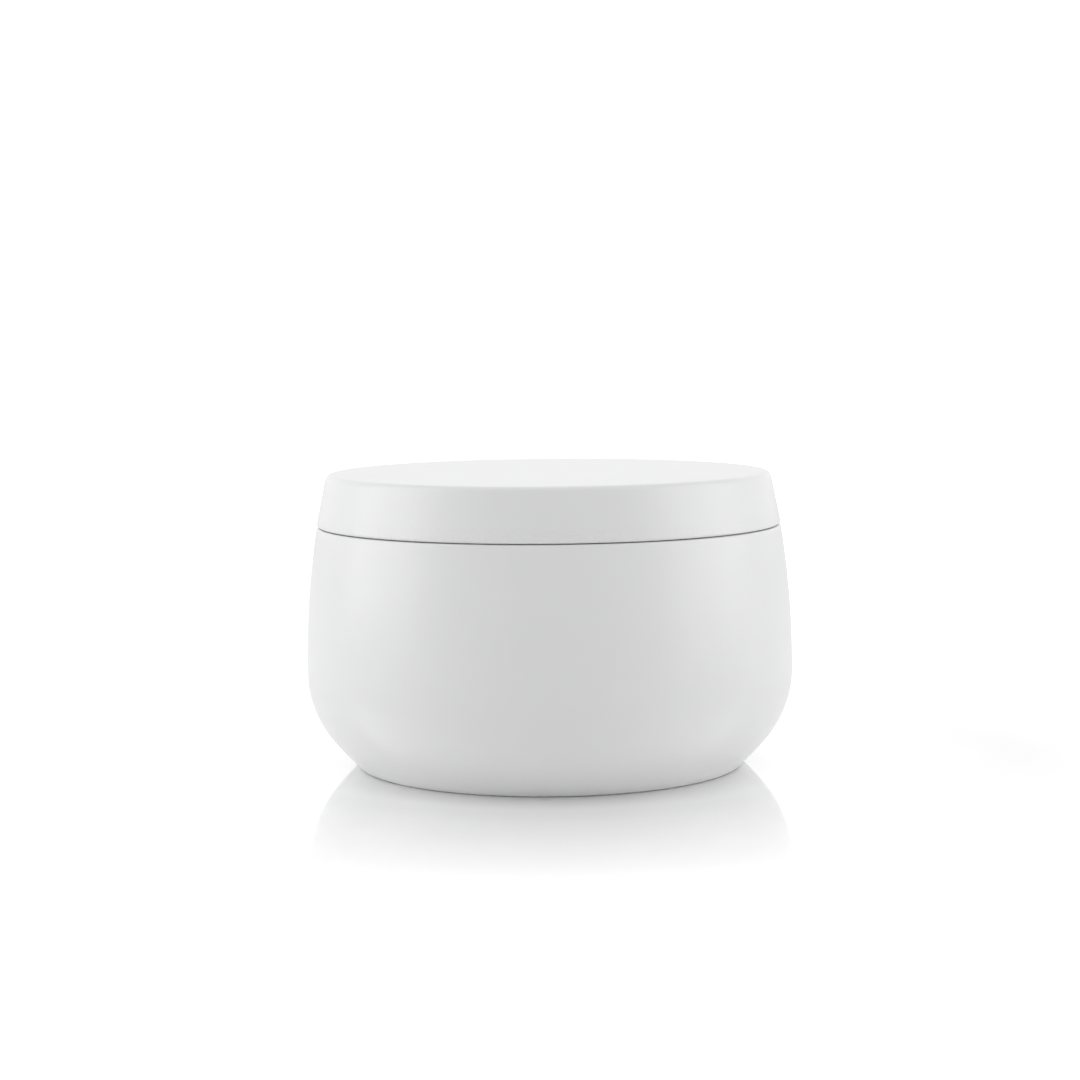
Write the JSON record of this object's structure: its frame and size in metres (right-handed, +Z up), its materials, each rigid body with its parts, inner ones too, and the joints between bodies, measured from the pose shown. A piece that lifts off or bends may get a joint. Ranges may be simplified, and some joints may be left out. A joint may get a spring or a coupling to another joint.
{
  "type": "candle tin",
  "caption": "Round white slip-lid tin with a belly, a small shoulder and a narrower foot, holding a poured soy candle with a braided wick.",
  "frame": {"origin": "centre of the foot ring, on the plane that the tin stands on", "axes": "+Z up through the middle of the lid; the tin is round, and +X is the way the wick's tip leans"},
  "size_m": [0.0844, 0.0844, 0.0508],
  "materials": {
    "coated_tinplate": "satin white coating",
    "lid_coated_tinplate": "satin white coating",
    "soy_wax": "smooth creamy wax",
    "waxed_cotton": "waxed braided cotton",
    "bare_tinplate": "bright rolled tinplate",
    "foam_sticker": "matte closed-cell foam"
  },
  "bodies": {
    "tin": {"tin_body": "coated_tinplate", "wax": "soy_wax", "wick": "waxed_cotton", "wick_tab": "bare_tinplate", "wick_sticker": "foam_sticker"},
    "lid": {"lid": "lid_coated_tinplate"}
  },
  "joints": [
    {"name": "lid_lift", "type": "slide", "parent": "tin", "child": "lid", "axis": [0, 0, 1], "range_m": [0, 0.05]}
  ]
}
